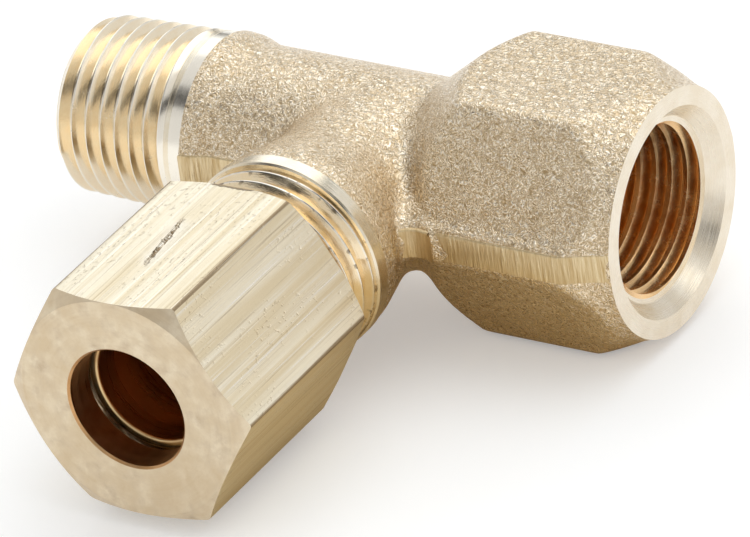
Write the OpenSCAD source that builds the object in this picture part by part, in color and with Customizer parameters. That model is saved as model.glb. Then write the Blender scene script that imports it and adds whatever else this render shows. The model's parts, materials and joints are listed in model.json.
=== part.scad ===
// Compression run tee: forged body, compression nut and sleeve.
// Run along X (male end at -X, female end at +X), branch toward -Y, Z up.
// Origin where the run axis crosses the branch axis. Millimetres.

/* [Run threads] */
// Pitch of the tapered pipe thread, 27 per inch
pipe_pitch = 0.9407; // [0.7:0.0001:2.4]
// Major radius where the internal pipe thread starts
pipe_major_r = 5.14; // [4:0.01:12]
// Depth of the pipe thread's groove
pipe_thread_depth = 0.66; // [0.4:0.01:1.6]
// Growth of the pipe thread's radius per millimetre of length
pipe_taper = 0.03125; // [0.01:0.00125:0.05]
// Width of the flat on a pipe thread's crest
pipe_crest_w = 0.16; // [0.08:0.01:0.4]
// Grooves cut in the male end
male_turns = 7; // [4:1:12]
// Grooves cut in the female port
port_turns = 7; // [4:1:12]

/* [Male end] */
// Distance from the branch axis to the male end face
male_reach = 18.75; // [14:0.05:40]
// Radius of the end face inside its chamfer
male_face_r = 4.3; // [3:0.05:10]
// Length of the end chamfer
male_chamfer = 0.62; // [0.2:0.02:2]
// Length of the plain machined band behind the thread
band_length = 1.2; // [0.6:0.05:4]

/* [Forged run] */
// Radius of the neck
neck_r = 4.86; // [3.5:0.01:12]
// Radius of the collar behind the plain band
collar_r = 5.3; // [4:0.01:13]
// Length of the collar before its slope
collar_length = 0.75; // [0.4:0.05:4]
// Forging draft of the collar over its length
collar_draft = 0.06; // [0.02:0.01:0.3]
// Length of the slope from the collar to the neck
collar_slope = 1.05; // [0.4:0.05:4]
// Radius of the water passage in the run
waterway_r = 2.78; // [1.5:0.01:8]

/* [Female end] */
// Distance from the branch axis to the female end face
port_reach = 17.3; // [13:0.05:40]
// Width of the forged hexagon across its flats
hex_af = 14.2875; // [11:0.0001:36]
// Rounding of the hexagon's edges
hex_edge_r = 0.7; // [0.2:0.05:2]
// Distance from the branch axis to the back slope's small end
hex_back_start = 3.2; // [1:0.02:12]
// Distance from the branch axis to full hexagon corners
hex_full_start = 7.3; // [4:0.05:20]
// Distance from the end face back to full hexagon corners
hex_full_end = 3.0; // [1.5:0.05:8]
// Radius of the front slope where it meets the collar
lip_root_r = 7.05; // [5:0.01:16]
// Length of the round lip in front of the hexagon
lip_length = 0.85; // [0.3:0.05:3]
// Radius of the lip at the end face
lip_r = 6.8; // [5:0.01:16]
// Radius of the countersink at the end face
countersink_r = 5.77; // [4.5:0.01:14]
// Depth of the countersink
countersink_depth = 0.76; // [0.3:0.02:3]
// Length of the drilled run-out past the last thread groove
drill_runout = 1.1; // [0.5:0.05:4]
// Step from the deepest thread crest down to the drilled run-out
drill_relief = 0.25; // [0:0.01:0.6]
// Half angle of the drill point
drill_half_angle = 59; // [45:1:70]
// Distance from the run axis to the trimmed flash at the hexagon corners
trim_half_width = 7.9; // [6:0.01:20]
// Height of the trimmed flash above the parting plane
flash_above = 1.5; // [0.3:0.05:3]
// Height of the trimmed flash below the parting plane
flash_below = 0.45; // [0.1:0.05:2]
// Reach of the trimmed flash beyond the neck's surface
flash_proud = 0.1; // [0.05:0.01:0.5]
// Fillet of the trimmed flash between the neck and the branch
neck_fillet_r = 1.6; // [0.5:0.05:3]
// Fillet of the trimmed flash between the branch and the hexagon's back slope
notch_fillet_r = 0.6; // [0.2:0.05:1.5]

/* [Branch] */
// Radius of the forged branch next to the run
branch_neck_r = 4.86; // [3.5:0.01:12]
// Step from the machined shoulder down to the forged flare
flare_step = 0.09; // [0.02:0.01:1]
// Length of the flare
branch_flare = 3.6; // [1:0.05:12]
// Length of the flare's full radius
branch_rim = 0.9; // [0.2:0.05:5]
// Distance from the run axis to the machined shoulder
shoulder_start = 10.2; // [8:0.05:30]
// Length of the machined shoulder
shoulder_length = 0.95; // [0.4:0.05:4]
// Step from the branch thread's crests up to the machined shoulder
shoulder_step = 0.194; // [0.05:0.002:1]
// Major radius of the branch thread, 7/16 inch
branch_major_r = 5.556; // [4:0.001:14]
// Pitch of the branch thread, 24 per inch
branch_pitch = 1.0583; // [0.7:0.0001:2.5]
// Depth of the branch thread's groove
branch_thread_depth = 0.62; // [0.4:0.01:1.6]
// Width of the flat on a branch thread's crest
branch_crest_w = 0.15; // [0.08:0.01:0.4]
// Grooves cut in the branch
branch_turns = 8; // [5:1:14]
// Distance from the run axis to the branch's end face
branch_reach = 20.5; // [15:0.05:50]
// Length of the chamfer on the branch's end
branch_chamfer = 0.5; // [0.2:0.02:1.5]
// Radial width of the tube seat, from the socket out to its mouth
seat_width = 1.345; // [0.9:0.005:2.5]
// Half angle of both of the sleeve's seats
seat_half_angle = 30; // [10:1:50]
// Depth of the tube socket past the seat
socket_depth = 3.4; // [1:0.05:12]
// Radius of the passage behind the tube socket
branch_bore_r = 2.38; // [1.2:0.01:8]

/* [Tube and sleeve] */
// Outside radius of the tube that the branch takes, 1/4 inch
tube_r = 3.175; // [1.5:0.001:10]
// Radial room between the tube and the body's socket
socket_room = 0.08; // [0.03:0.01:0.3]
// Radial room between the tube and the sleeve
sleeve_room = 0.05; // [0.02:0.01:0.2]
// Wall of the sleeve
sleeve_wall = 0.73; // [0.4:0.01:2]
// Length of the sleeve
sleeve_length = 4.8; // [3:0.05:12]
// Length of the sleeve's inner slope
sleeve_nose = 0.87; // [0.3:0.01:3]
// Length of the sleeve's outer slope
sleeve_tail = 0.4; // [0.2:0.01:2]
// Room between the sleeve and its seat in the nut
sleeve_seat_room = 0.045; // [0.02:0.005:0.1]
// Edge break of the sleeve's bore
sleeve_edge = 0.12; // [0.04:0.01:0.3]

/* [Nut] */
// Wall of the nut between the branch thread's crests and the nut's flats
nut_wall = 0.794; // [0.4:0.002:4]
// Angle of the nut's corners from the run axis
nut_turn = 1.6; // [-30:0.05:30]
// Distance from the run axis to the nut's back face
nut_start = 14.7; // [12:0.05:40]
// Length of the nut
nut_length = 12.45; // [8:0.05:40]
// Distance from the nut's front chamfer to its flats
nut_face_inset = 0.01; // [-0.3:0.01:1]
// Distance from the nut's back chamfer out past its flats
nut_back_outset = 0.15; // [-0.3:0.01:0.6]
// Angle of the nut's chamfers from its faces
nut_chamfer_angle = 30; // [15:1:45]
// Rounding of the nut's edges
nut_edge_r = 0.2; // [0.1:0.05:1]
// Room between the nut's bore and the branch thread's crests
nut_thread_room = 0.06; // [0.03:0.01:0.2]
// Room between the branch's end and the nut's inner step once tightened
nut_end_room = 0.1; // [0.05:0.01:0.5]
// Radial margin of the nut's cone outside the sleeve
nut_cone_margin = 0.6; // [0.2:0.05:0.9]
// Radial room between the tube and the nut's hole
nut_hole_room = 0.275; // [0.05:0.005:0.5]
// Edge break of the tube hole
nut_hole_edge = 0.22; // [0.05:0.01:0.6]
// Length of the tube hole's wall
nut_hole_length = 1.9; // [0.8:0.05:8]
// Depth of the recess behind the tube hole's wall
nut_recess_length = 0.6; // [0.2:0.05:2]
// Turns that the nut can be tightened from where it stands
tighten_turns = 1.25; // [0.5:0.05:3]

/* [Hidden] */
smooth = 96;
hexagon = 6;
overlap = 0.02;
beyond = 1;
quarter = 90;
flat_angle = 30;

hex_tip_r = tip_radius(hex_af, hex_edge_r);
hex_back_rise = (hex_tip_r - neck_r) / (hex_full_start - hex_back_start);
hex_front_rise = (hex_tip_r - lip_root_r) / (hex_full_end - lip_length);
run_side = neck_r + flash_proud;
trim_start = hex_back_start + (trim_half_width - run_side) / hex_back_rise;
trim_stop = port_reach - lip_length - (trim_half_width - lip_root_r) / hex_front_rise;
nut_af = 2 * (branch_major_r + nut_wall);
nut_tip_r = tip_radius(nut_af, nut_edge_r);

// The male thread ends at the plain band, which has the pipe's own radius.
band_r = pipe_major_r;
band_end = male_reach - male_chamfer - male_turns * pipe_pitch - pipe_crest_w;
neck_start = band_end - band_length;
collar_end = neck_start - collar_length;
slope_end = collar_end - collar_slope;

port_minor_r = pipe_major_r - pipe_thread_depth;
port_mouth = port_reach - countersink_depth;
port_groove_start = port_mouth - pipe_crest_w - port_turns * pipe_pitch;
port_deep_r = port_minor_r - port_turns * pipe_pitch * pipe_taper;
drill_r = port_deep_r - drill_relief;
drill_end = port_groove_start - drill_runout;

branch_root_r = branch_major_r - branch_thread_depth;
shoulder_r = branch_major_r + shoulder_step;
branch_r = shoulder_r - flare_step;
seat_mouth_r = tube_r + socket_room + seat_width;
flare_end = shoulder_start - branch_rim;
shoulder_end = shoulder_start + shoulder_length;
thread_end = branch_reach - branch_chamfer;
seat_depth = (seat_mouth_r - tube_r - socket_room) / tan(seat_half_angle);
socket_end = branch_reach - seat_depth - socket_depth;

sleeve_bore_r = tube_r + sleeve_room;
sleeve_r = sleeve_bore_r + sleeve_wall;
nose_r = sleeve_r - sleeve_nose * tan(seat_half_angle);
tail_r = sleeve_r - sleeve_tail * tan(seat_half_angle);
tighten_travel = tighten_turns * branch_pitch;

// The sleeve stands off the body's seat by the nut's tightening travel.
seat_at_sleeve_r = branch_reach - (seat_mouth_r - sleeve_r - sleeve_seat_room) / tan(seat_half_angle);
sleeve_inner = seat_at_sleeve_r + tighten_travel - sleeve_nose;
sleeve_outer = sleeve_inner + sleeve_length;

nut_end = nut_start + nut_length;
nut_face_r = nut_af / 2 - nut_face_inset;
nut_back_r = nut_af / 2 + nut_back_outset;
nut_hole_r = tube_r + nut_hole_room;
nut_bore_r = branch_major_r + nut_thread_room;
nut_recess_r = tail_r + sleeve_seat_room;
nut_front_drop = (nut_tip_r - nut_face_r) * tan(nut_chamfer_angle);
nut_back_drop = (nut_tip_r - nut_back_r) * tan(nut_chamfer_angle);
nut_cone_end = sleeve_outer;
nut_step = branch_reach + tighten_travel + nut_end_room;
nut_cone_r = sleeve_r + nut_cone_margin;
nut_cone_start = nut_cone_end - (nut_cone_r - nut_recess_r) / tan(seat_half_angle);
nut_hole_start = nut_end - nut_hole_length;

// A solid of revolution about X from a profile of [distance, radius] points.
module along_run(points) {
  rotate([0, quarter, 0])
    rotate_extrude($fn = smooth)
      polygon([for (p = points) [p[1], p[0]]]);
}

// A solid of revolution about -Y from a profile of [distance, radius] points.
module along_branch(points) {
  rotate([quarter, 0, 0])
    rotate_extrude($fn = smooth)
      polygon([for (p = points) [p[1], p[0]]]);
}

// Crest lands with a closed groove after each, from start toward start + turns * step.
// A negative depth gives an internal thread's grooves.
function grooves(start, step, turns, crest, top_r, depth, slope) = [
  for (i = [0 : turns - 1])
    let (a = start + i * step)
    let (r0 = top_r + i * slope)
    for (p = [
      [a, r0],
      [a + crest, r0],
      [a + (crest + step) / 2, r0 - depth + slope / 2]
    ]) p
];

// A hexagonal bar from the origin up, corners on the local Y axis.
module hexagon_bar(af, height) {
  rotate(quarter)
    cylinder(h = height, r = af / 2 / cos(flat_angle), $fn = hexagon);
}

// Radius to the tip of a hexagon's corner once the corner is rounded.
function tip_radius(af, edge_r) = (af / 2 - edge_r) / cos(flat_angle) + edge_r;

// Turned shape that the forged hexagon is kept inside.
module hex_envelope() {
  along_run([
    [0, 0],
    [0, neck_r],
    [hex_back_start, neck_r],
    [hex_full_start, hex_tip_r],
    [port_reach - hex_full_end, hex_tip_r],
    [port_reach - lip_length, lip_root_r],
    [port_reach, lip_r],
    [port_reach, 0]
  ]);
}

module forged_hexagon() {
  intersection() {
    hex_envelope();
    rotate([0, quarter, 0])
      hexagon_bar(hex_af, port_reach + beyond);
    cube([2 * (port_reach + beyond), 2 * trim_half_width, 2 * hex_af], center = true);
  }
}

// Right half of the trimmed outline, as a plan of points [x, half width].
function trim_points() = [
  [-neck_start, collar_r + flash_proud],
  [-collar_end, collar_r + flash_proud],
  [-slope_end, run_side],
  [hex_back_start, run_side],
  [trim_start, trim_half_width],
  [trim_stop, trim_half_width],
  [port_reach - lip_length, lip_root_r + flash_proud / 2],
  [port_reach - overlap, lip_r]
];

// Web that fillets a corner of the plan between two touching points.
module corner_web(corner, touch_a, centre, touch_b) {
  difference() {
    polygon([corner, touch_a, centre, touch_b]);
    translate(centre)
      circle(r = norm(centre - touch_a), $fn = smooth);
  }
}

// Plan of the flash beside the branch, filleted into the run on both sides.
module branch_trim_plan() {
  side = branch_neck_r + flash_proud;
  slope_turn = atan(hex_back_rise);
  notch = run_side + (side - hex_back_start) * hex_back_rise;
  notch_touch = notch_fillet_r / tan((quarter - slope_turn) / 2);
  flare_side = flare_end - branch_flare / 2;
  translate([-side, -flare_side])
    square([2 * side, flare_side]);
  translate([overlap, overlap])
    corner_web(
      [-side, -run_side],
      [-side, -run_side - neck_fillet_r],
      [-side - neck_fillet_r, -run_side - neck_fillet_r],
      [-side - neck_fillet_r, -run_side]
    );
  translate([-overlap, 2 * overlap])
    corner_web(
      [side, -notch],
      [side, -notch - notch_touch],
      [side + notch_fillet_r, -notch - notch_touch],
      [side + notch_touch * cos(slope_turn), -notch - notch_touch * sin(slope_turn)]
    );
}

// Flash left on the parting line by the trimming tool.
module trimmed_flash() {
  translate([0, 0, -flash_below])
    linear_extrude(flash_below + flash_above) {
      for (way = [0, 1])
        mirror([0, way])
          polygon(concat([[-neck_start, 0]], trim_points(), [[port_reach - overlap, 0]]));
      branch_trim_plan();
    }
}

module male_end() {
  first = -male_reach + male_chamfer;
  first_r = band_r - (male_reach - male_chamfer - band_end) * pipe_taper;
  along_run(concat(
    [[0, 0], [-male_reach, 0], [-male_reach, male_face_r]],
    grooves(first, pipe_pitch, male_turns, pipe_crest_w, first_r, pipe_thread_depth,
      pipe_pitch * pipe_taper),
    [
      [-band_end, band_r],
      [-neck_start, band_r],
      [-neck_start, collar_r],
      [-collar_end, collar_r - collar_draft],
      [-slope_end, neck_r],
      [0, neck_r]
    ]
  ));
}

module branch_stub() {
  first = thread_end - branch_turns * branch_pitch;
  along_branch(concat(
    [
      [0, 0],
      [0, branch_neck_r],
      [flare_end - branch_flare, branch_neck_r],
      [flare_end, branch_r],
      [shoulder_start, branch_r],
      [shoulder_start, shoulder_r],
      [shoulder_end, shoulder_r],
      [shoulder_end, branch_major_r]
    ],
    grooves(first, branch_pitch, branch_turns, branch_crest_w, branch_major_r,
      branch_thread_depth, 0),
    [
      [thread_end, branch_major_r],
      [branch_reach, branch_root_r],
      [branch_reach, 0]
    ]
  ));
}

module run_passage() {
  along_run([
    [-male_reach - beyond, 0],
    [-male_reach - beyond, waterway_r],
    [drill_end - (drill_r - waterway_r) / tan(drill_half_angle), waterway_r],
    [drill_end, drill_r],
    [port_reach + beyond, drill_r],
    [port_reach + beyond, 0]
  ]);
}

module port_thread() {
  along_run(concat(
    [[drill_end - overlap, 0], [drill_end - overlap, drill_r], [port_groove_start, drill_r]],
    grooves(port_groove_start, pipe_pitch, port_turns, pipe_crest_w, port_deep_r,
      -pipe_thread_depth, pipe_pitch * pipe_taper),
    [
      [port_mouth - pipe_crest_w, port_minor_r],
      [port_mouth - pipe_crest_w / 2, port_minor_r],
      [port_mouth, pipe_major_r],
      [port_reach, countersink_r],
      [port_reach + beyond, countersink_r],
      [port_reach + beyond, 0]
    ]
  ));
}

module branch_passage() {
  along_branch([
    [0, 0],
    [0, branch_bore_r],
    [socket_end, branch_bore_r],
    [socket_end, tube_r + socket_room],
    [branch_reach - seat_depth, tube_r + socket_room],
    [branch_reach, seat_mouth_r],
    [branch_reach + beyond, seat_mouth_r],
    [branch_reach + beyond, 0]
  ]);
}

module tee_body() {
  color([0.80, 0.66, 0.40])
    difference() {
      union() {
        male_end();
        forged_hexagon();
        trimmed_flash();
        branch_stub();
      }
      run_passage();
      port_thread();
      branch_passage();
    }
}

module nut_outside() {
  intersection() {
    along_branch([
      [nut_start, 0],
      [nut_start, nut_back_r],
      [nut_start + nut_back_drop, nut_tip_r],
      [nut_end - nut_front_drop, nut_tip_r],
      [nut_end, nut_face_r],
      [nut_end, 0]
    ]);
    rotate([quarter, 0, 0])
      rotate(nut_turn + quarter)
        hexagon_bar(nut_af, nut_end + beyond);
  }
}

module nut_inside() {
  along_branch([
    [nut_start - beyond, 0],
    [nut_start - beyond, nut_bore_r + nut_hole_edge],
    [nut_start, nut_bore_r + nut_hole_edge],
    [nut_start + nut_hole_edge, nut_bore_r],
    [nut_step, nut_bore_r],
    [nut_step, nut_cone_r],
    [nut_cone_start, nut_cone_r],
    [nut_cone_end, nut_recess_r],
    [nut_hole_start, nut_recess_r],
    [nut_hole_start, nut_hole_r],
    [nut_end - nut_hole_edge, nut_hole_r],
    [nut_end, nut_hole_r + nut_hole_edge],
    [nut_end + beyond, nut_hole_r + nut_hole_edge],
    [nut_end + beyond, 0]
  ]);
}

module compression_nut() {
  color([0.86, 0.77, 0.55])
    difference() {
      nut_outside();
      nut_inside();
    }
}

module ferrule() {
  color([0.83, 0.70, 0.42])
    along_branch([
      [sleeve_inner, sleeve_bore_r + sleeve_edge],
      [sleeve_inner, nose_r],
      [sleeve_inner + sleeve_nose, sleeve_r],
      [sleeve_outer - sleeve_tail, sleeve_r],
      [sleeve_outer, tail_r],
      [sleeve_outer, sleeve_bore_r + sleeve_edge],
      [sleeve_outer - sleeve_edge, sleeve_bore_r],
      [sleeve_inner + sleeve_edge, sleeve_bore_r]
    ]);
}

tee_body();
compression_nut();
ferrule();
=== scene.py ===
import bpy
import bmesh
import json
import math
from mathutils import Matrix, Vector


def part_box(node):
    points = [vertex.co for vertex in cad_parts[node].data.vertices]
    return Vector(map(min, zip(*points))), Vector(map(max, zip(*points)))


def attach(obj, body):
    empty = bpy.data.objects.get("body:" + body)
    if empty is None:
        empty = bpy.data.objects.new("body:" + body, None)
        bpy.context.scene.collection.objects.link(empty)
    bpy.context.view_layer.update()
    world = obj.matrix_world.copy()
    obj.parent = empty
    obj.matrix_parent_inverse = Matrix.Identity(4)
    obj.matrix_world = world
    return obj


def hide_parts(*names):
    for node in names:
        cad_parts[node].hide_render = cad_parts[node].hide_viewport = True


# Shapes are made in millimetres, with the run along X, the branch along -Y and Z up,
# and each finished mesh is brought to metres once.

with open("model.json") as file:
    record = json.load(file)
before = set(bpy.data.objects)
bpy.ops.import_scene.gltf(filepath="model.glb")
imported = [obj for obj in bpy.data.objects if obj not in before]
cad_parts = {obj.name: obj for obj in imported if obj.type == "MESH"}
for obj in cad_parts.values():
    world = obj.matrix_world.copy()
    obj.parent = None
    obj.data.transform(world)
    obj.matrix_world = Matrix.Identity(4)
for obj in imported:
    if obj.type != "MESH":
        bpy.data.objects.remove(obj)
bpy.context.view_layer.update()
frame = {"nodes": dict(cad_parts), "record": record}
scene = bpy.context.scene
toMetres = 0.001
fullTurn = 2 * math.pi
alongRun = Matrix.Rotation(math.radians(90), 4, "Y")  # a shape's own Z becomes +X
alongBranch = Matrix.Rotation(math.radians(90), 4, "X")  # a shape's own Z becomes -Y
print("frame loaded:", ", ".join(frame["nodes"]))


# camera, light and floor

cameraSpot = {
    "azimuth": -55.561, "elevation": 30.207, "roll": -7.594,
    "right": -0.910, "up": -5.938, "distance": 466.638,
    "lens": 417.18, "sensor": 36.0,
}


def wayFrom(azimuth, elevation):
    az, el = math.radians(azimuth), math.radians(elevation)
    return Vector((math.cos(el) * math.cos(az), math.cos(el) * math.sin(az), math.sin(el)))


def placeCamera(spot):
    back = wayFrom(spot["azimuth"], spot["elevation"])
    roll = math.radians(spot["roll"])
    flat = (-back).cross(Vector((0, 0, 1))).normalized()
    tall = flat.cross(-back)
    right = math.cos(roll) * flat + math.sin(roll) * tall
    up = math.cos(roll) * tall - math.sin(roll) * flat
    data = bpy.data.cameras.new("camera")
    data.sensor_fit = "HORIZONTAL"
    data.sensor_width = spot["sensor"]
    data.lens = spot["lens"]
    data.clip_start = 0.01
    camera = bpy.data.objects.new("camera", data)
    scene.collection.objects.link(camera)
    turn = Matrix((right, up, back)).transposed().to_4x4()
    place = back * spot["distance"] + right * spot["right"] + up * spot["up"]
    camera.matrix_world = Matrix.Translation(place * toMetres) @ turn
    scene.camera = camera


def aimedAt(azimuth, elevation, distance, target=(0, 0, 0)):
    way = wayFrom(azimuth, elevation)
    turn = way.to_track_quat("Z", "Y").to_matrix().to_4x4()
    return Matrix.Translation(Vector(target) + way * distance) @ turn


def softLight(name, look):
    data = bpy.data.lights.new(name, "AREA")
    data.shape = "RECTANGLE"
    data.size, data.size_y = look["size"]
    data.energy = look["power"]
    data.color = look["colour"]
    light = bpy.data.objects.new(name, data)
    light.matrix_world = aimedAt(*look["aim"])
    scene.collection.objects.link(light)


def paper(name, colour, glow=0.0):
    made = bpy.data.materials.new(name)
    made.use_nodes = True
    shader = made.node_tree.nodes["Principled BSDF"]
    shader.inputs["Base Color"].default_value = (*colour, 1)
    shader.inputs["Roughness"].default_value = 0.9
    shader.inputs["Emission Color"].default_value = (1, 1, 1, 1)
    shader.inputs["Emission Strength"].default_value = glow
    return made


def stageSheet(name, size, place, material, unseen=False):
    bm = bmesh.new()
    bmesh.ops.create_grid(bm, x_segments=1, y_segments=1, size=0.5)
    bmesh.ops.scale(bm, vec=(size[0], size[1], 1), verts=bm.verts)
    bm.transform(place)
    mesh = bpy.data.meshes.new(name)
    bm.to_mesh(mesh)
    bm.free()
    sheet = bpy.data.objects.new(name, mesh)
    scene.collection.objects.link(sheet)
    mesh.materials.append(material)
    if unseen:  # a studio card: only reflections see it
        sheet.visible_camera = False
        sheet.visible_diffuse = False
        sheet.visible_shadow = False


# places on the stage are in metres; an aim is azimuth, elevation, distance and the point looked at
stageLook = {
    "floorSize": (6, 6), "floorDrop": 0.0002, "floorColour": (0.76, 0.76, 0.755), "floorGlow": 0.30,
    "worldColour": (0.99, 0.995, 1.0), "worldStrength": 0.78,
    "underSize": (0.025, 0.034), "underAt": (0.0045, -0.009), "underLift": 0.0001,
}
papers = {
    "cardBlack": paper("cardBlack", (0.012, 0.011, 0.010)),
    "cardGrey": paper("cardGrey", (0.22, 0.21, 0.20)),
    "paintedFloorShadePaper": paper("paintedFloorShadePaper", (0.74, 0.60, 0.36)),
}
cards = {
    "cardLeft": {"size": (0.95, 0.12), "aim": (-139, 44.5, 0.42, (-0.012, 0, 0)), "paper": "cardBlack"},
    "cardFront": {"size": (0.32, 0.34), "aim": (-44, 42, 0.50), "paper": "cardBlack"},
    "cardRear": {"size": (0.70, 0.15), "aim": (125, 2, 0.70), "paper": "cardGrey"},
    "cardBack": {"size": (0.05, 0.20), "aim": (72, 41, 0.50), "paper": "cardBlack"},
}
lights = {
    "softTop": {"aim": (60, 72, 0.60), "size": (0.75, 0.60), "power": 1.15, "colour": (0.93, 0.97, 1.0)},
    "softBack": {"aim": (120, 32, 0.70), "size": (0.60, 0.40), "power": 0.56, "colour": (0.90, 0.955, 1.0)},
    "softRight": {"aim": (20, 12, 0.70), "size": (0.40, 0.40), "power": 0.45, "colour": (1, 1, 1)},
}

placeCamera(cameraSpot)
floorZ = min(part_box(n)[0].z for n in frame["nodes"]) - stageLook["floorDrop"]
floorPaper = paper("floorPaper", stageLook["floorColour"], stageLook["floorGlow"])
stageSheet("floor", stageLook["floorSize"], Matrix.Translation((0, 0, floorZ)), floorPaper)
for name, card in cards.items():
    stageSheet(name, card["size"], aimedAt(*card["aim"]), papers[card["paper"]], True)
# painted shade: a brown card under the piece, seen only in reflections, stands in for the shaded floor
# beneath it
underPlace = Matrix.Translation((*stageLook["underAt"], floorZ + stageLook["underLift"]))
stageSheet("paintedFloorShadeCard", stageLook["underSize"], underPlace, papers["paintedFloorShadePaper"], True)
for name, light in lights.items():
    softLight(name, light)
world = bpy.data.worlds.new("studioAir")
world.use_nodes = True
world.node_tree.nodes["Background"].inputs["Color"].default_value = (*stageLook["worldColour"], 1)
world.node_tree.nodes["Background"].inputs["Strength"].default_value = stageLook["worldStrength"]
scene.world = world
scene.view_settings.view_transform = "Standard"
print("stage set")


# finishes

class Board:  # wires one material; its vectors are in millimetres on the piece
    def __init__(self, name):
        self.material = bpy.data.materials.new(name)
        self.material.use_nodes = True
        self.tree = self.material.node_tree
        self.shader = self.tree.nodes["Principled BSDF"]
        place = self.add("ShaderNodeTexCoord").outputs["Object"]
        self.spot = self.scaled(place, 1000, 1000, 1000)
        self.x, self.y, self.z = self.add("ShaderNodeSeparateXYZ", {0: self.spot}).outputs

    def add(self, kind, inputs=None, **settings):
        node = self.tree.nodes.new(kind)
        for key, value in settings.items():
            setattr(node, key, value)
        for key, value in (inputs or {}).items():
            if isinstance(value, bpy.types.NodeSocket):
                self.tree.links.new(value, node.inputs[key])
            else:
                node.inputs[key].default_value = value
        return node

    def maths(self, operation, a, b=0.0):
        return self.add("ShaderNodeMath", {0: a, 1: b}, operation=operation).outputs[0]

    def plus(self, a, b):
        return self.maths("ADD", a, b)

    def minus(self, a, b):
        return self.maths("SUBTRACT", a, b)

    def times(self, a, b):
        return self.maths("MULTIPLY", a, b)

    def vector(self, x, y, z):
        return self.add("ShaderNodeCombineXYZ", {0: x, 1: y, 2: z}).outputs[0]

    def scaled(self, vector, sx, sy, sz):
        return self.add("ShaderNodeVectorMath", {0: vector, 1: (sx, sy, sz)}, operation="MULTIPLY").outputs[0]

    def radius(self, a, b):
        return self.maths("SQRT", self.plus(self.times(a, a), self.times(b, b)))

    def cloud(self, vector, scale=1.0, detail=2.0, rough=0.5):
        inputs = {"Vector": vector, "Scale": scale, "Detail": detail, "Roughness": rough}
        return self.add("ShaderNodeTexNoise", inputs).outputs["Fac"]

    def streaks(self, sx, sy, sz, detail=2.0, rough=0.5):
        return self.cloud(self.scaled(self.spot, sx, sy, sz), 1.0, detail, rough)

    def spread(self, value, low, high, outLow=0.0, outHigh=1.0):
        inputs = {"Value": value, "From Min": low, "From Max": high, "To Min": outLow, "To Max": outHigh}
        return self.add("ShaderNodeMapRange", inputs).outputs["Result"]

    def blend(self, share, a, b):
        made = self.add("ShaderNodeMix", data_type="RGBA")
        for socket, value in ((made.inputs[0], share), (made.inputs[6], a), (made.inputs[7], b)):
            if isinstance(value, bpy.types.NodeSocket):
                self.tree.links.new(value, socket)
            elif isinstance(value, tuple):
                socket.default_value = (*value, 1)
            else:
                socket.default_value = value
        return made.outputs[2]

    def bump(self, height, distance, strength=1.0, under=None):
        inputs = {"Height": height, "Distance": distance * toMetres, "Strength": strength}
        if under is not None:
            inputs["Normal"] = under
        return self.add("ShaderNodeBump", inputs).outputs["Normal"]

    def finish(self, colour, rough, normal):
        for key, socket in (("Base Color", colour), ("Roughness", rough), ("Normal", normal)):
            self.tree.links.new(socket, self.shader.inputs[key])
        self.shader.inputs["Metallic"].default_value = 1.0
        return self.material


blastLook = {
    "pale": (0.93, 0.775, 0.56), "deep": (0.50, 0.35, 0.18), "glint": (0.98, 0.88, 0.72),
    "rough": (0.40, 0.17), "waverScale": 2.2, "grainScale": 8.0, "grain": 0.082,
    "pebbleScale": 6.4, "pebbles": 0.30, "swellScale": 0.7, "swell": 0.10,
    "low": 0.14, "high": 0.46, "glintFrom": 0.40, "glintTo": 0.50,
}


def blastedBrass(look):
    b = Board("blastedBrass")
    waver = b.add("ShaderNodeTexNoise", {"Vector": b.spot, "Scale": look["waverScale"], "Detail": 1.0})
    bent = b.add("ShaderNodeVectorMath", {0: b.spot, 1: waver.outputs["Color"]}, operation="ADD").outputs[0]
    grain = b.cloud(bent, look["grainScale"])
    pebble = b.add("ShaderNodeTexVoronoi", {"Vector": bent, "Scale": look["pebbleScale"]},
                   feature="SMOOTH_F1")
    swell = b.cloud(b.spot, look["swellScale"])
    height = b.minus(grain, b.times(pebble.outputs["Distance"], look["pebbles"]))
    normal = b.bump(swell, look["swell"], 0.5)
    normal = b.bump(height, look["grain"], 1.0, normal)
    colour = b.blend(b.spread(height, look["low"], look["high"]), look["deep"], look["pale"])
    colour = b.blend(b.spread(swell, 0.35, 0.7, 0.0, 0.25), colour, look["deep"])
    colour = b.blend(b.spread(height, look["glintFrom"], look["glintTo"]), colour, look["glint"])
    rough = b.spread(height, look["low"], look["high"], *look["rough"])
    return b.finish(colour, rough, normal)


turnLook = {
    "pale": (0.90, 0.82, 0.67), "deep": (0.84, 0.73, 0.55), "rough": (0.16, 0.30),
    "rings": 9.0, "cut": 0.012,
}
ringLook = {
    "pale": (0.84, 0.755, 0.62), "deep": (0.79, 0.69, 0.54), "rough": (0.20, 0.34),
    "rings": 9.0, "cut": 0.008,
}
# painted shade: boreLook and nutBoreLook are a darker, redder copy of the turned brass, standing in for the
# shade and bounced light inside the holes
boreLook = {
    "pale": (0.74, 0.45, 0.22), "deep": (0.60, 0.33, 0.14), "rough": (0.26, 0.44),
    "rings": 6.0, "cut": 0.008,
}
nutBoreLook = {
    "pale": (0.74, 0.45, 0.22), "deep": (0.60, 0.33, 0.14), "rough": (0.26, 0.44),
    "rings": 6.0, "cut": 0.008,
    # painted shade: the recess behind the tube hole is painted near black
    "paintedBoreShadeFrom": 3.58, "paintedBoreShadeTo": 3.66, "paintedBoreShade": (0.10, 0.06, 0.03),
}
sleeveLook = {
    "pale": (0.80, 0.62, 0.34), "deep": (0.72, 0.52, 0.26), "rough": (0.24, 0.38),
    "rings": 9.0, "cut": 0.006,
    # painted shade: the sleeve's bore wall is painted darker and redder
    "paintedBoreShadeFrom": 3.30, "paintedBoreShadeTo": 3.26, "paintedBoreShade": (0.55, 0.29, 0.12),
}


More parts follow.
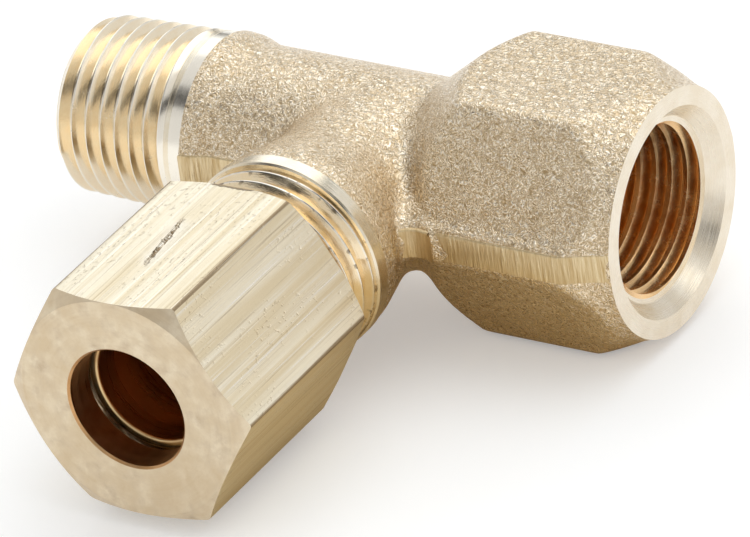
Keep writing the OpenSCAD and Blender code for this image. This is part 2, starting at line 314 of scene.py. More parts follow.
def turnedBrass(name, look, axis="run"):
    b = Board(name)
    far, along = (b.radius(b.y, b.z), b.x) if axis == "run" else (b.radius(b.x, b.z), b.y)
    rings = b.vector(b.times(along, look["rings"]), b.times(far, look["rings"]), b.times(b.z, 0.25))
    lines = b.cloud(rings, 1.0, 3.0, 0.6)
    mottle = b.cloud(b.spot, 0.9, 3.0)
    colour = b.blend(b.spread(mottle, 0.35, 0.65), look["deep"], look["pale"])
    if "paintedBoreShade" in look:  # painted shade: bore walls are darkened where they lie deep inside the hole
        colour = b.blend(b.spread(far, look["paintedBoreShadeFrom"], look["paintedBoreShadeTo"]), colour, look["paintedBoreShade"])
    rough = b.spread(lines, 0.3, 0.7, *look["rough"])
    return b.finish(colour, rough, b.bump(lines, look["cut"], 0.8))


# "top" is the crest radius at the middle of the run, and "taper" what it gains per mm along it
pipeThreadLook = {
    "groove": (0.95, 0.80, 0.58), "grooveLight": (0.96, 0.85, 0.66), "crest": (0.93, 0.87, 0.76),
    "burr": (0.36, 0.26, 0.15), "burrs": 0.0, "rough": (0.16, 0.28), "top": 5.496, "taper": 0.03125,
    "depth": 0.68, "cut": 0.006,
}
portThreadLook = {
    "groove": (0.84, 0.53, 0.25), "grooveLight": (0.90, 0.63, 0.34), "crest": (0.94, 0.87, 0.77),
    "burr": (0.80, 0.50, 0.24), "burrs": 0.3, "rough": (0.16, 0.30), "top": 3.968, "taper": 0.03125,
    "depth": 0.64, "cut": 0.006,
}
branchThreadLook = {
    "groove": (0.90, 0.71, 0.45), "grooveLight": (0.93, 0.79, 0.57), "crest": (0.93, 0.87, 0.77),
    "burr": (0.20, 0.14, 0.08), "burrs": 0.85, "rough": (0.12, 0.26), "top": 5.556, "taper": 0.0,
    "depth": 0.66, "cut": 0.008,
}


def threadedBrass(name, look, axis="run"):
    b = Board(name)
    far = b.radius(b.y, b.z) if axis == "run" else b.radius(b.x, b.z)
    top = b.plus(b.times(b.x, look["taper"]), look["top"]) if axis == "run" else look["top"]
    height = b.maths("ABSOLUTE", b.minus(top, far))
    crest = b.spread(height, look["depth"] * 0.14, 0.0)
    chatter = b.cloud(b.spot, 1.3, 4.0, 0.6)
    lines = b.cloud(b.vector(b.times(far, 16.0), b.times(b.x, 3.0), b.times(b.y, 0.5)))
    colour = b.blend(b.spread(chatter, 0.3, 0.7), look["groove"], look["grooveLight"])
    # painted highlight: the crests are painted paler and whiter than the grooves
    colour = b.blend(crest, colour, look["crest"])
    torn = b.spread(b.cloud(b.spot, 1.9, 4.0), 0.59, 0.64)
    burr = b.times(torn, b.spread(height, look["depth"] * 0.4, 0.0))
    colour = b.blend(b.times(burr, look["burrs"]), colour, look["burr"])
    rough = b.spread(chatter, 0.3, 0.7, *look["rough"])
    return b.finish(colour, rough, b.bump(lines, look["cut"], 0.7))


trimLook = {
    "pale": (0.78, 0.64, 0.41), "deep": (0.62, 0.46, 0.245), "rough": (0.44, 0.26),
    "shear": 0.09, "scratch": 0.02,
}


def trimmedBrass(look):
    b = Board("trimmedBrass")
    shear = b.streaks(5.5, 5.5, 0.45, 4.0, 0.65)
    fine = b.streaks(14, 14, 1.2)
    colour = b.blend(b.spread(shear, 0.35, 0.65), look["deep"], look["pale"])
    rough = b.spread(shear, 0.3, 0.7, *look["rough"])
    normal = b.bump(shear, look["shear"], 0.8)
    return b.finish(colour, rough, b.bump(fine, look["scratch"], 0.6, normal))


drawnLook = {
    "pale": (0.82, 0.74, 0.58), "deep": (0.72, 0.61, 0.42), "dark": (0.26, 0.18, 0.10),
    "white": (0.88, 0.85, 0.80), "rough": (0.26, 0.44), "paintedCornerShadeR": (7.252, 7.276), "topZ": 6.0,
    "dentFrom": (-0.93, -18.67), "dentTo": (-0.42, -22.87), "paintedDentShadeHalf": 0.13, "paintedDentHighlightHalf": 0.9,
    "burrBack": (14.86, 14.78), "burrSpan": (-1.6, 1.2),
}


def drawnBrass(look):
    b = Board("drawnBrass")
    lines = b.streaks(8.0, 0.08, 8.0, 4.0, 0.62)
    bands = b.streaks(1.7, 0.03, 1.7)
    speck = b.streaks(5.0, 3.4, 5.0)
    patch = b.streaks(0.5, 0.22, 0.5, 3.0)
    nick = b.times(b.spread(speck, 0.60, 0.70), b.spread(patch, 0.46, 0.56))
    colour = b.blend(b.spread(bands, 0.38, 0.62), look["deep"], look["pale"])
    colour = b.blend(b.spread(lines, 0.56, 0.74, 0.0, 0.55), colour, look["dark"])
    colour = b.blend(b.spread(lines, 0.44, 0.30, 0.0, 0.65), colour, look["white"])
    colour = b.blend(b.times(nick, 0.18), colour, look["dark"])
    # painted shade: a dark line along each rolled corner
    wander = b.spread(lines, 0.3, 0.7, -0.02, 0.02)
    corner = b.spread(b.plus(b.radius(b.x, b.z), wander), *look["paintedCornerShadeR"])
    colour = b.blend(b.times(corner, 0.85), colour, look["dark"])
    # painted shade in patches on the floor of the long dent on the top flat, and a painted highlight on the
    # metal beside it
    (x0, y0), (x1, y1) = look["dentFrom"], look["dentTo"]
    length = math.hypot(x1 - x0, y1 - y0)
    ux, uy = (x1 - x0) / length, (y1 - y0) / length
    px, py = b.minus(b.x, x0), b.minus(b.y, y0)
    along = b.plus(b.times(px, ux), b.times(py, uy))
    across = b.minus(b.times(px, uy), b.times(py, ux))
    across = b.plus(across, b.spread(b.cloud(b.spot, 2.4, 3.0), 0.3, 0.7, -0.14, 0.14))
    across = b.maths("ABSOLUTE", across)
    top = b.maths("GREATER_THAN", b.z, look["topZ"])
    inSpan = b.times(b.spread(along, -0.5, 0.4), b.spread(along, length + 0.5, length - 0.6))
    inSpan = b.times(inSpan, top)
    dent = b.times(b.spread(across, look["paintedDentShadeHalf"], 0.03), inSpan)
    paintedDentHighlight = b.times(b.spread(across, look["paintedDentHighlightHalf"], 0.2), inSpan)
    colour = b.blend(b.times(paintedDentHighlight, 0.35), colour, look["white"])
    colour = b.blend(b.times(dent, b.spread(speck, 0.34, 0.50)), colour, look["dark"])
    # torn burr along the back edge of the same flat
    burrStart, burrStop = look["burrSpan"]
    inBurr = b.times(b.spread(b.x, burrStart, burrStart + 0.3), b.spread(b.x, burrStop, burrStop - 0.3))
    ragged = b.spread(b.cloud(b.spot, 3.0, 3.0), 0.3, 0.7, -0.07, 0.07)
    back = b.plus(b.times(b.y, -1.0), ragged)
    edge = b.times(b.spread(back, *look["burrBack"]), b.times(inBurr, top))
    colour = b.blend(b.times(edge, 0.9), colour, look["dark"])
    rough = b.spread(lines, 0.3, 0.7, *look["rough"])
    normal = b.bump(lines, 0.030, 0.8)
    normal = b.bump(bands, 0.10, 0.5, normal)
    normal = b.bump(nick, -0.025, 0.6, normal)
    normal = b.bump(paintedDentHighlight, -0.04, 0.8, normal)
    normal = b.bump(b.plus(dent, edge), -0.08, 0.9, normal)
    return b.finish(colour, rough, normal)


faceLook = {
    "pale": (0.78, 0.665, 0.49), "deep": (0.66, 0.525, 0.35), "stain": (0.36, 0.23, 0.125), "stains": 0.55,
    "rough": (0.34, 0.50), "rings": 7.0,
}


def nutFaceBrass(look):
    b = Board("nutFaceBrass")
    far = b.radius(b.x, b.z)
    rings = b.cloud(b.vector(b.times(far, look["rings"]), b.times(b.x, 0.2), b.times(b.z, 0.2)), 1.0, 3.0)
    mottle = b.cloud(b.spot, 0.75, 5.0, 0.6)
    spots = b.spread(b.cloud(b.spot, 1.1, 5.0, 0.58), 0.42, 0.74)
    stain = b.times(spots, b.spread(mottle, 0.38, 0.62))
    colour = b.blend(b.spread(mottle, 0.35, 0.65), look["deep"], look["pale"])
    colour = b.blend(b.times(stain, look["stains"]), colour, look["stain"])
    rough = b.spread(rings, 0.3, 0.7, *look["rough"])
    return b.finish(colour, rough, b.bump(mottle, 0.03, 0.5, b.bump(rings, 0.012, 0.8)))


teeFinishes = [
    blastedBrass(blastLook),
    turnedBrass("turnedBrass", turnLook),
    threadedBrass("pipeThreadBrass", pipeThreadLook),
    trimmedBrass(trimLook),
    turnedBrass("boredBrass", boreLook),
    turnedBrass("portRingBrass", ringLook),
    threadedBrass("portThreadBrass", portThreadLook),
    threadedBrass("branchThreadBrass", branchThreadLook, "branch"),
    turnedBrass("shoulderBrass", turnLook, "branch"),
    turnedBrass("branchBoreBrass", boreLook, "branch"),
]
blasted, machined, pipeThread, trimmed, bored = range(5)
portRing, portThread, branchThread, shoulder, branchBore = range(5, 10)
nutFinishes = [
    drawnBrass(drawnLook),
    nutFaceBrass(faceLook),
    threadedBrass("nutThreadBrass", branchThreadLook, "branch"),
    turnedBrass("nutBoreBrass", nutBoreLook, "branch"),
]
drawn, nutFace, nutThread, nutBore = range(4)
print("finishes made")


# shape helpers, all in millimetres

def asObject(name, bm, finishes):
    mesh = bpy.data.meshes.new(name)
    bm.to_mesh(mesh)
    bm.free()
    for finish in finishes:
        mesh.materials.append(finish)
    made = bpy.data.objects.new(name, mesh)
    scene.collection.objects.link(made)
    return made


def eased(profile, cut):  # breaks every corner of an open outline with a short flat
    kept = [profile[0]]
    for before, corner, after in zip(profile, profile[1:], profile[2:]):
        p = Vector(corner)
        for other in (before, after):
            way = Vector(other) - p
            kept.append(tuple(p + way * min(0.4, cut / max(way.length, 1e-6))))
    return kept + [profile[-1]]


# A profile is (place along the axis, radius) points.
def turnedShape(name, profile, place, finish, finishes, cut=0.0, steps=192):
    outline = eased(profile, cut) if cut else profile
    bm = bmesh.new()
    points = [bm.verts.new((r, 0, a)) for a, r in outline]
    for a, b in zip(points, points[1:]):
        bm.edges.new((a, b))
    if outline[0][1] > 0:  # a tube's outline closes on itself
        bm.edges.new((points[-1], points[0]))
    bmesh.ops.spin(bm, geom=bm.verts[:] + bm.edges[:], cent=(0, 0, 0), axis=(0, 0, 1),
                   angle=fullTurn, steps=steps, use_merge=True)
    bmesh.ops.remove_doubles(bm, verts=bm.verts, dist=1e-4)
    bmesh.ops.dissolve_degenerate(bm, edges=bm.edges, dist=1e-5)
    bmesh.ops.recalc_face_normals(bm, faces=bm.faces)
    for face in bm.faces:
        face.material_index = finish
    bm.transform(place)
    return asObject(name, bm, finishes)


# A threaded rod whose helix runs past both ends of where it is wanted; inner=True makes a tap.
def threadRod(name, look, place, finish, finishes, inner=False, perTurn=144):
    pitch, depth, base = look["pitch"], look["depth"], look["radius"]
    crest, root = look["crest"] / pitch / 2, look["root"] / pitch / 2
    section = [(0, 0), (crest, 0), (0.5 - root, depth), (0.5 + root, depth), (1 - crest, 0), (1, 0)]
    outline = eased([(f * pitch, base - d) for f, d in section], look["ease"])
    bm = bmesh.new()
    points = [bm.verts.new((r, 0, look["start"] + a)) for a, r in outline]
    for a, b in zip(points, points[1:]):
        bm.edges.new((a, b))
    bmesh.ops.spin(bm, geom=bm.verts[:] + bm.edges[:], cent=(0, 0, 0), axis=(0, 0, 1),
                   dvec=(0, 0, pitch / perTurn), angle=fullTurn, steps=perTurn, use_merge=False)
    oneTurn = bm.verts[:] + bm.edges[:] + bm.faces[:]
    for lap in range(1, look["turns"]):
        copied = bmesh.ops.duplicate(bm, geom=oneTurn)["geom"]
        verts = [v for v in copied if isinstance(v, bmesh.types.BMVert)]
        bmesh.ops.translate(bm, vec=(0, 0, lap * pitch), verts=verts)
    bmesh.ops.remove_doubles(bm, verts=bm.verts, dist=0.004)
    for v in bm.verts:  # the taper, and the run-out where the thread fades
        far = math.hypot(v.co.x, v.co.y)
        fade = max(0.0, min(1.0, (v.co.z - look["fadeFrom"]) / (look["fadeTo"] - look["fadeFrom"])))
        top = base + look["taper"] * (v.co.z - look["gauge"])
        new = top - depth + (far - base + depth) * fade if inner else top - (base - far) * fade
        v.co.x *= new / far
        v.co.y *= new / far
    middle = look["start"] + pitch * (look["turns"] + 1) / 2
    for low in (True, False):
        rim = [e for e in bm.edges if e.is_boundary and (e.verts[0].co.z < middle) == low]
        grown = bmesh.ops.extrude_edge_only(bm, edges=rim)["geom"]
        tips = [v for v in grown if isinstance(v, bmesh.types.BMVert)]
        tipZ = look["start"] + (-pitch if low else pitch * (look["turns"] + 2))
        bmesh.ops.pointmerge(bm, verts=tips, merge_co=(0, 0, tipZ))
    bmesh.ops.recalc_face_normals(bm, faces=bm.faces)
    for face in bm.faces:
        face.material_index = finish
    bm.transform(place)
    return asObject(name, bm, finishes)


def hexagonBar(name, flat, edgeR, length, place, finish, finishes):
    bm = bmesh.new()
    corner = flat / math.cos(math.radians(30))
    bmesh.ops.create_cone(bm, cap_ends=True, segments=6, radius1=corner, radius2=corner, depth=length)
    bmesh.ops.translate(bm, vec=(0, 0, length / 2), verts=bm.verts)
    if max(v.co.y for v in bm.verts) < corner - 0.01:  # a corner has to point along Y
        turn = Matrix.Rotation(math.radians(30), 3, "Z")
        bmesh.ops.rotate(bm, cent=(0, 0, 0), matrix=turn, verts=bm.verts)
    long = [e for e in bm.edges if abs(e.verts[0].co.z - e.verts[1].co.z) > length / 2]
    bmesh.ops.bevel(bm, geom=long, offset=edgeR * math.tan(math.radians(30)), affect="EDGES", segments=4,
                    profile=0.5, material=-1)
    for face in bm.faces:
        face.material_index = finish
    bm.transform(place)
    return asObject(name, bm, finishes)


def combine(target, tool, how):
    step = target.modifiers.new("step", "BOOLEAN")
    step.operation, step.solver, step.object = how, "MANIFOLD", tool
    bpy.context.view_layer.objects.active = target
    bpy.ops.object.modifier_apply(modifier=step.name)
    bpy.data.objects.remove(tool)
    return target


def finishPiece(piece, body, node, sharp=28):
    bm = bmesh.new()
    bm.from_mesh(piece.data)
    for face in bm.faces:
        face.smooth = True
    for edge in bm.edges:
        edge.smooth = edge.calc_face_angle(0) < math.radians(sharp)
    bm.transform(Matrix.Scale(toMetres, 4))
    openEdges = sum(not e.is_manifold for e in bm.edges)
    bm.to_mesh(piece.data)
    bm.free()
    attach(piece, body)
    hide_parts(node)
    print(piece.name, "faces", len(piece.data.polygons), "open edges", openEdges)


# tee body: the forging

teeBox = [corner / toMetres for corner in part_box("tee_body")]
mountOf = {m["name"]: m for m in frame["record"]["mounts"]}
maleReach, portReach, branchReach = -teeBox[0].x, teeBox[1].x, -teeBox[0].y
overlap = 0.05  # how far joined parts run into each other

run = {
    "neckR": 4.86, "collarR": 5.3, "collarDraft": 0.06, "bandR": 5.14, "bandEnd": 11.385, "bandLength": 1.2,
    "collarLength": 0.75, "collarSlope": 1.05, "waterwayR": mountOf["run_waterway"]["dims"]["r_mm"],
    "hexFlat": 7.14375, "hexRound": 0.7, "backStart": 3.2, "fullStart": 7.3, "fullEnd": 3.0, "tipR": 8.141,
    "lipRootR": 7.05, "lipLength": 0.85, "lipR": 6.8, "neckStop": 9,
}
branch = {
    "neckR": 4.86, "flareR": 5.66, "flareLength": 3.6, "rim": 0.9, "shoulderStart": 10.2,
    "shoulderLength": 0.95, "shoulderR": 5.75, "shoulderEase": 0.10, "boreR": 2.38,
}
# flash left on the parting line by the trimming tool, with its sheared wall
flash = {
    "above": 1.5, "below": 0.45, "proud": 0.1, "halfWidth": 7.8999, "neckFillet": 1.6, "notchFillet": 1.5,
    "inset": 0.05, "ease": 0.4, "shearTop": 1.22, "shearEase": 0.16,
}
# how the die's rounded creases are made: a fine skin, then rounds of smoothing
skinning = {
    "voxel": 0.185, "spare": 0.8, "crease": 40, "creaseWidth": 0.9, "corner": 130, "cornerWidth": 1.7,
    "root": 14, "rootWidth": 0.9, "rootR": 5.8, "all": 4,
}
neckStart = run["bandEnd"] - run["bandLength"]
runStops = [
    (-neckStart, run["collarR"]), (run["collarLength"] - neckStart, run["collarR"] - run["collarDraft"]),
    (run["collarLength"] + run["collarSlope"] - neckStart, run["neckR"]), (run["backStart"], run["neckR"]),
    (run["fullStart"], run["tipR"]), (portReach - run["fullEnd"], run["tipR"]),
    (portReach - run["lipLength"], run["lipRootR"]), (portReach, run["lipR"]),
]
flareEnd = branch["shoulderStart"] - branch["rim"]
branchStops = [
    (0, branch["neckR"]), (flareEnd - branch["flareLength"], branch["neckR"]),
    (flareEnd, branch["flareR"]), (branch["shoulderStart"], branch["flareR"]),
]


def between(x, stops):  # straight lines through (place, size) stops
    for (x0, r0), (x1, r1) in zip(stops, stops[1:]):
        if x <= x1:
            return r0 + (r1 - r0) * max(0.0, x - x0) / (x1 - x0)
    return stops[-1][1]


def cornerArc(centre, radius, fromTurn, toTurn, steps=8):
    turns = [math.radians(fromTurn + (toTurn - fromTurn) * i / steps) for i in range(steps + 1)]
    return [(centre[0] + radius * math.cos(t), centre[1] + radius * math.sin(t)) for t in turns]


def trimmedFlash(name, inset, top, ease, finish):
    proud, wide = flash["proud"] - inset, flash["halfWidth"] - inset
    side = run["neckR"] + proud
    backRise = (run["tipR"] - run["neckR"]) / (run["fullStart"] - run["backStart"])
    frontRise = (run["tipR"] - run["lipRootR"]) / (run["fullEnd"] - run["lipLength"])
    lipStart = portReach - run["lipLength"]
    farSide = [
        (-neckStart, run["collarR"] + proud), (runStops[1][0], runStops[1][1] + proud),
        (runStops[2][0], side), (run["backStart"], side), (run["backStart"] + (wide - side) / backRise, wide),
        (lipStart - (wide - run["lipRootR"]) / frontRise, wide), (lipStart, run["lipRootR"] + proud / 2),
        (portReach - 0.02, run["lipR"]),
    ]
    slopeTurn = math.degrees(math.atan(backRise))
    notch = side + (side - run["backStart"]) * backRise
    touch = flash["notchFillet"] / math.tan(math.radians((90 - slopeTurn) / 2))
    neckR, notchR = flash["neckFillet"], flash["notchFillet"]
    hidden = flareEnd - branch["flareLength"] / 2
    nearSide = [(x, -y) for x, y in farSide[:3]]
    nearSide += cornerArc((-side - neckR, -side - neckR), neckR, 90, 0)
    nearSide += [(-side, -hidden), (side, -hidden)]
    nearSide += cornerArc((side + notchR, -notch - touch), notchR, 180, 90 - slopeTurn)
    nearSide += [(x, -y) for x, y in farSide[4:]]
    bm = bmesh.new()
    rim = [bm.verts.new((x, y, -flash["below"])) for x, y in nearSide + farSide[::-1]]
    plan = bm.faces.new(rim)
    grown = bmesh.ops.extrude_face_region(bm, geom=[plan])["geom"]
    tops = [v for v in grown if isinstance(v, bmesh.types.BMVert)]
    bmesh.ops.translate(bm, vec=(0, 0, flash["below"] + top), verts=tops)
    bmesh.ops.recalc_face_normals(bm, faces=bm.faces)
    upper = [e for e in bm.edges if all(v.co.z > 1 for v in e.verts)]
    bmesh.ops.bevel(bm, geom=upper, offset=ease, affect="EDGES", segments=3, profile=0.5, material=-1)
    for face in bm.faces:
        face.material_index = finish
    return asObject(name, bm, teeFinishes)


def trimEnd(bm, point, normal, finish):
    cut = bmesh.ops.bisect_plane(bm, geom=bm.verts[:] + bm.edges[:] + bm.faces[:], plane_co=point,
                                 plane_no=normal, clear_outer=True)
    rim = [e for e in cut["geom_cut"] if isinstance(e, bmesh.types.BMEdge)]
    for face in bmesh.ops.holes_fill(bm, edges=rim)["faces"]:
        face.material_index = finish


def soften(bm, verts, times):
    for _ in range(times):
        bmesh.ops.smooth_vert(bm, verts=verts, factor=0.5, use_axis_x=True, use_axis_y=True, use_axis_z=True)


def offRun(v):
    return math.hypot(v.co.y, v.co.z) - between(v.co.x, runStops)


def offBranch(v):
    return math.hypot(v.co.x, v.co.z) - between(-v.co.y, branchStops)


def forgedBlank():
    spare = skinning["spare"]
    hexEnd, stubEnd, neckStop = portReach + spare, branch["shoulderStart"] + spare, run["neckStop"]
    runOutline = [(-neckStart - spare, 0), (-neckStart - spare, run["collarR"])] + runStops[:4]
    runOutline += [(neckStop, run["neckR"]), (neckStop, 0)]
    hexOutline = [(0, 0), (0, run["neckR"])] + runStops[3:] + [(hexEnd, run["lipR"]), (hexEnd, 0)]
    stubOutline = [(0, 0)] + branchStops + [(stubEnd, branch["flareR"]), (stubEnd, 0)]
    blank = turnedShape("runBlank", runOutline, alongRun, blasted, teeFinishes)
    hexPart = hexagonBar("hexBlank", run["hexFlat"], run["hexRound"], hexEnd, alongRun, blasted, teeFinishes)
    combine(hexPart, turnedShape("hexEnvelope", hexOutline, alongRun, blasted, teeFinishes), "INTERSECT")
    slab = bmesh.new()
    bmesh.ops.create_cube(slab, size=60)
    bmesh.ops.scale(slab, vec=(1, flash["halfWidth"] / 30, 1), verts=slab.verts)
    combine(hexPart, asObject("trimSlab", slab, teeFinishes), "INTERSECT")
    stub = turnedShape("branchBlank", stubOutline, alongBranch, blasted, teeFinishes)
    combine(blank, hexPart, "UNION")
    combine(blank, stub, "UNION")
    flashBlank = trimmedFlash("flashBlank", flash["inset"], flash["above"], flash["ease"], blasted)
    combine(blank, flashBlank, "UNION")
    skin = blank.modifiers.new("skin", "REMESH")
    skin.mode, skin.voxel_size = "VOXEL", skinning["voxel"]
    bpy.context.view_layer.objects.active = blank
    bpy.ops.object.modifier_apply(modifier=skin.name)
    bm = bmesh.new()
    bm.from_mesh(blank.data)

    def nearJoin(v, width):
        return abs(offRun(v)) < width and abs(offBranch(v)) < width

    def nearRoot(v):
        inReach = abs(v.co.x - run["backStart"]) < skinning["rootWidth"]
        return inReach and math.hypot(v.co.y, v.co.z) < skinning["rootR"]

    crease = [v for v in bm.verts if v.co.y < -1 and nearJoin(v, skinning["creaseWidth"])]
    root = [v for v in bm.verts if nearRoot(v)]
    corner = [v for v in bm.verts if v.co.x > 2.5 and v.co.y < -2 and nearJoin(v, skinning["cornerWidth"])]
    soften(bm, crease, skinning["crease"])
    soften(bm, corner, skinning["corner"])
    soften(bm, root, skinning["root"])
    soften(bm, bm.verts[:], skinning["all"])
    trimEnd(bm, (-neckStart, 0, 0), (-1, 0, 0), machined)
    trimEnd(bm, (portReach, 0, 0), (1, 0, 0), portRing)
    trimEnd(bm, (0, -branch["shoulderStart"], 0), (0, -1, 0), shoulder)
    bmesh.ops.recalc_face_normals(bm, faces=bm.faces)
    bm.to_mesh(blank.data)
    bm.free()
    return blank


teeBody = forgedBlank()
teeBody.name = "teeBody"
combine(teeBody, trimmedFlash("shearedFlash", 0, flash["shearTop"], flash["shearEase"], trimmed), "UNION")
print("forged blank", len(teeBody.data.polygons))


# tee body: what is machined on it

pipeTaper = 0.03125  # radius gained per mm along the run

male = {
    "faceR": 4.3, "chamferR": 4.93, "chamferLength": 0.62, "chamferReach": 0.9, "clearR": 5.9,
    "clearStart": 1.5, "bandLap": 0.02, "bandProud": 0.012, "bandEase": 0.06,
}
maleThread = {
    "pitch": 0.9407, "depth": 0.68, "crest": 0.07, "root": 0.085, "ease": 0.03, "radius": 5.14,
    "taper": pipeTaper, "gauge": -run["bandEnd"], "start": -maleReach - 3.0, "turns": 13,
    "fadeFrom": -run["bandEnd"] + 0.1, "fadeTo": -run["bandEnd"] - 0.9,
}


def machinedMale():
    end = threadRod("maleThread", maleThread, alongRun, pipeThread, teeFinishes)
    rise = (male["chamferR"] - male["faceR"]) / male["chamferLength"]
    stop = overlap - neckStart
    envelope = turnedShape("maleEnvelope", [
        (-maleReach, 0), (-maleReach, male["faceR"]),
        (-maleReach + male["chamferReach"], male["faceR"] + male["chamferReach"] * rise),
        (-maleReach + male["clearStart"], male["clearR"]), (stop, male["clearR"]), (stop, 0)],
        alongRun, machined, teeFinishes)
    combine(end, envelope, "INTERSECT")
    bandStart, bandR = -run["bandEnd"] + male["bandLap"], run["bandR"] + male["bandProud"]
    band = turnedShape("band", [(bandStart, 0), (bandStart, bandR), (stop, bandR), (stop, 0)],
                       alongRun, machined, teeFinishes, male["bandEase"])
    return combine(end, band, "UNION")


stubEndCut = {"rootR": 4.936, "crestR": 5.556, "chamfer": 0.5, "clear": 1.2, "clearR": 6.2}
branchThreadShape = {
    "pitch": 1.0583, "depth": 0.66, "crest": 0.09, "root": 0.206, "ease": 0.03, "radius": 5.556,
    "taper": 0.0, "gauge": 0, "start": 8.2, "turns": 15, "fadeFrom": 10.6, "fadeTo": 11.7,
}


def machinedBranch():
    end = threadRod("branchThread", branchThreadShape, alongBranch, branchThread, teeFinishes)
    start, cut = branch["shoulderStart"] - overlap, stubEndCut
    envelope = turnedShape("branchEnvelope", [
        (start, 0), (start, cut["clearR"]), (branchReach - cut["clear"], cut["clearR"]),
        (branchReach - cut["chamfer"], cut["crestR"]), (branchReach, cut["rootR"]), (branchReach, 0)],
        alongBranch, machined, teeFinishes)
    combine(end, envelope, "INTERSECT")
    stop, ringR = branch["shoulderStart"] + branch["shoulderLength"], branch["shoulderR"]
    ring = turnedShape("shoulderRing", [(start, 0), (start, ringR), (stop, ringR), (stop, 0)],
                       alongBranch, shoulder, teeFinishes, branch["shoulderEase"])
    return combine(end, ring, "UNION")


combine(teeBody, machinedMale(), "UNION")
combine(teeBody, machinedBranch(), "UNION")

port = {
    "mouth": 16.54, "countersinkR": 5.77, "countersinkFoot": 0.12, "countersinkFootR": 5.04, "minorR": 4.56,
    "tapLength": 6.9, "tapStart": 9.65, "drillR": 4.024, "drillStart": 9.7, "drillEnd": 8.695,
    "pointHalf": 59, "entryFlare": 1.3, "entryLength": 0.3,
}
portTap = {
    "pitch": 0.9407, "depth": 0.64, "crest": 0.06, "root": 0.15, "ease": 0.03, "radius": 5.125,
    "taper": pipeTaper, "gauge": port["mouth"], "start": 9.2, "turns": 10, "fadeFrom": 9.6, "fadeTo": 10.9,
}


def cutPort():
    mouth, minorR, sinkR, wayR = port["mouth"], port["minorR"], port["countersinkR"], run["waterwayR"]
    point = port["drillEnd"] - (port["drillR"] - wayR) / math.tan(math.radians(port["pointHalf"]))
    bore = turnedShape("runBore", [
        (-maleReach - 1, 0), (-maleReach - 1, wayR + port["entryFlare"]),
        (-maleReach + port["entryLength"], wayR), (point, wayR), (port["drillEnd"], port["drillR"]),
        (port["drillStart"], port["drillR"]), (port["drillStart"], 0)], alongRun, bored, teeFinishes)
    combine(teeBody, bore, "DIFFERENCE")
    tapDrill = turnedShape("tapDrill", [
        (port["tapStart"], 0), (port["tapStart"], minorR - port["tapLength"] * pipeTaper),
        (mouth + 1, minorR + pipeTaper), (mouth + 1, 0)], alongRun, portThread, teeFinishes)
    combine(teeBody, tapDrill, "DIFFERENCE")
    tap = threadRod("portTap", portTap, alongRun, portThread, teeFinishes, inner=True)
    combine(teeBody, tap, "DIFFERENCE")
    foot = mouth - port["countersinkFoot"]
    sink = turnedShape("countersink", [
        (foot, 0), (foot, port["countersinkFootR"]), (portReach, sinkR), (portReach + 1, sinkR + 1),
        (portReach + 1, 0)], alongRun, portRing, teeFinishes)
    combine(teeBody, sink, "DIFFERENCE")


socket = {
    "r": mountOf["tube_socket"]["dims"]["r_mm"], "depth": 3.4, "mouthR": 4.6, "seatHalf": 30, "start": 0.3,
}


def cutBranch():
    socketR, mouthR, boreR = socket["r"], socket["mouthR"], branch["boreR"]
    seatFoot = branchReach - (mouthR - socketR) / math.tan(math.radians(socket["seatHalf"]))
    stop = seatFoot - socket["depth"]
    bore = turnedShape("branchBore", [
        (socket["start"], 0), (socket["start"], boreR), (stop, boreR), (stop, socketR), (seatFoot, socketR),
        (branchReach, mouthR), (branchReach + 1, mouthR + 0.6), (branchReach + 1, 0)],
        alongBranch, branchBore, teeFinishes)
    combine(teeBody, bore, "DIFFERENCE")


cutPort()
cutBranch()
finishPiece(teeBody, "tee", "tee_body")
print("tee body made")


# nut

nutBox = [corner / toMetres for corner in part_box("compression_nut")]
nut = {
    "start": -nutBox[1].y, "end": -nutBox[0].y, "flat": 6.35, "edgeR": 0.28, "turn": 1.6, "faceR": 6.34,
    "backR": 6.5, "tipR": 7.302, "chamfer": 30, "clearR": 8.5, "clearLength": 1.5,
    "holeR": mountOf["tube_entry"]["dims"]["r_mm"], "holeLength": 1.9, "holeEase": 0.12, "recessR": 3.769,
    "mouthR": 5.866, "mouthLength": 0.75, "drillR": 5.02, "stepAt": 21.92, "coneR": 4.555, "coneStart": 23.35,
    "coneEnd": 24.71, "dentAt": (-0.68, -20.8, 6.36), "dentSize": (0.17, 2.4, 0.13), "dentTurn": 6.9,
    "sharp": 12,
}
nutTap = {
    "pitch": 1.0583, "depth": 0.60, "crest": 0.20, "root": 0.14, "ease": 0.04, "radius": 5.63, "taper": 0.0,
    "gauge": 0, "start": 12.4332, "turns": 11, "fadeFrom": 25.0, "fadeTo": 22.2,
}


def dentTool(spot, size, turn):  # a long rounded tool that presses the dent in the top flat
    bm = bmesh.new()
    bmesh.ops.create_uvsphere(bm, u_segments=48, v_segments=24, radius=1)
    bmesh.ops.scale(bm, vec=size, verts=bm.verts)
    bmesh.ops.rotate(bm, cent=(0, 0, 0), matrix=Matrix.Rotation(math.radians(turn), 3, "Z"), verts=bm.verts)
    bmesh.ops.translate(bm, vec=spot, verts=bm.verts)
    for face in bm.faces:
        face.material_index = drawn
    return asObject("dent", bm, nutFinishes)


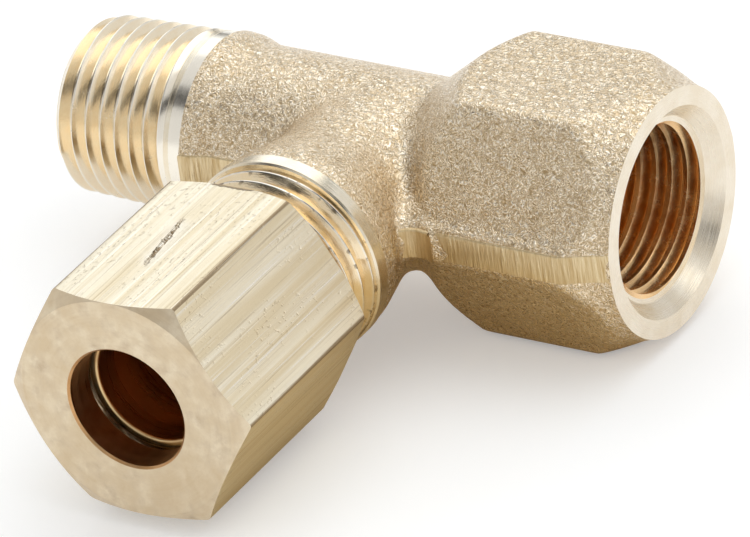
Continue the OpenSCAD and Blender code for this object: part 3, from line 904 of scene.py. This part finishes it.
def makeNut():
    slope = math.tan(math.radians(nut["chamfer"]))
    place = alongBranch @ Matrix.Rotation(math.radians(nut["turn"] + 90), 4, "Z")
    start, end, clear, tipR = nut["start"], nut["end"], nut["clearLength"], nut["tipR"]
    piece = hexagonBar("compressionNut", nut["flat"], nut["edgeR"], end + 1, place, drawn, nutFinishes)
    envelope = turnedShape("nutEnvelope", [
        (start, 0), (start, nut["backR"]), (start + (tipR - nut["backR"]) * slope, tipR),
        (start + clear, nut["clearR"]), (end - clear, nut["clearR"]),
        (end - (tipR - nut["faceR"]) * slope, tipR), (end, nut["faceR"]), (end, 0)],
        alongBranch, nutFace, nutFinishes)
    combine(piece, envelope, "INTERSECT")
    hole, edge, drillR = end - nut["holeLength"], nut["holeEase"], nut["drillR"]
    holeR, recessR, coneR = nut["holeR"], nut["recessR"], nut["coneR"]
    inside = turnedShape("nutInside", [
        (start - 1, 0), (start - 1, nut["mouthR"]), (start, nut["mouthR"]),
        (start + nut["mouthLength"], drillR), (nut["stepAt"], drillR), (nut["stepAt"], coneR),
        (nut["coneStart"], coneR), (nut["coneEnd"], recessR), (hole, recessR), (hole, holeR),
        (end - edge, holeR), (end, holeR + edge), (end + 1, holeR + edge), (end + 1, 0)],
        alongBranch, nutBore, nutFinishes)
    combine(piece, inside, "DIFFERENCE")
    tap = threadRod("nutTap", nutTap, alongBranch, nutThread, nutFinishes, inner=True)
    combine(piece, tap, "DIFFERENCE")
    combine(piece, dentTool(nut["dentAt"], nut["dentSize"], nut["dentTurn"]), "DIFFERENCE")
    finishPiece(piece, "nut", "compression_nut", nut["sharp"])


makeNut()
print("nut made")


# sleeve

sleeveBox = [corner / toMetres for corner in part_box("ferrule")]
sleeve = {
    "start": -sleeveBox[1].y, "end": -sleeveBox[0].y, "boreR": 3.225, "outR": 3.955,
    "nose": 0.87, "tail": 0.4, "chamfer": 30, "edge": 0.12, "ease": 0.04, "steps": 128,
}


def makeSleeve():
    slope = math.tan(math.radians(sleeve["chamfer"]))
    start, end, outR, boreR = sleeve["start"], sleeve["end"], sleeve["outR"], sleeve["boreR"]
    nose, tail, edge = sleeve["nose"], sleeve["tail"], sleeve["edge"]
    piece = turnedShape("sleeve", [
        (start, boreR + edge), (start, outR - nose * slope), (start + nose, outR), (end - tail, outR),
        (end, outR - tail * slope), (end, boreR + edge), (end - edge, boreR), (start + edge, boreR)],
        alongBranch, 0, [turnedBrass("sleeveBrass", sleeveLook, "branch")], sleeve["ease"], sleeve["steps"])
    finishPiece(piece, "sleeve", "ferrule")


makeSleeve()
print("sleeve made")
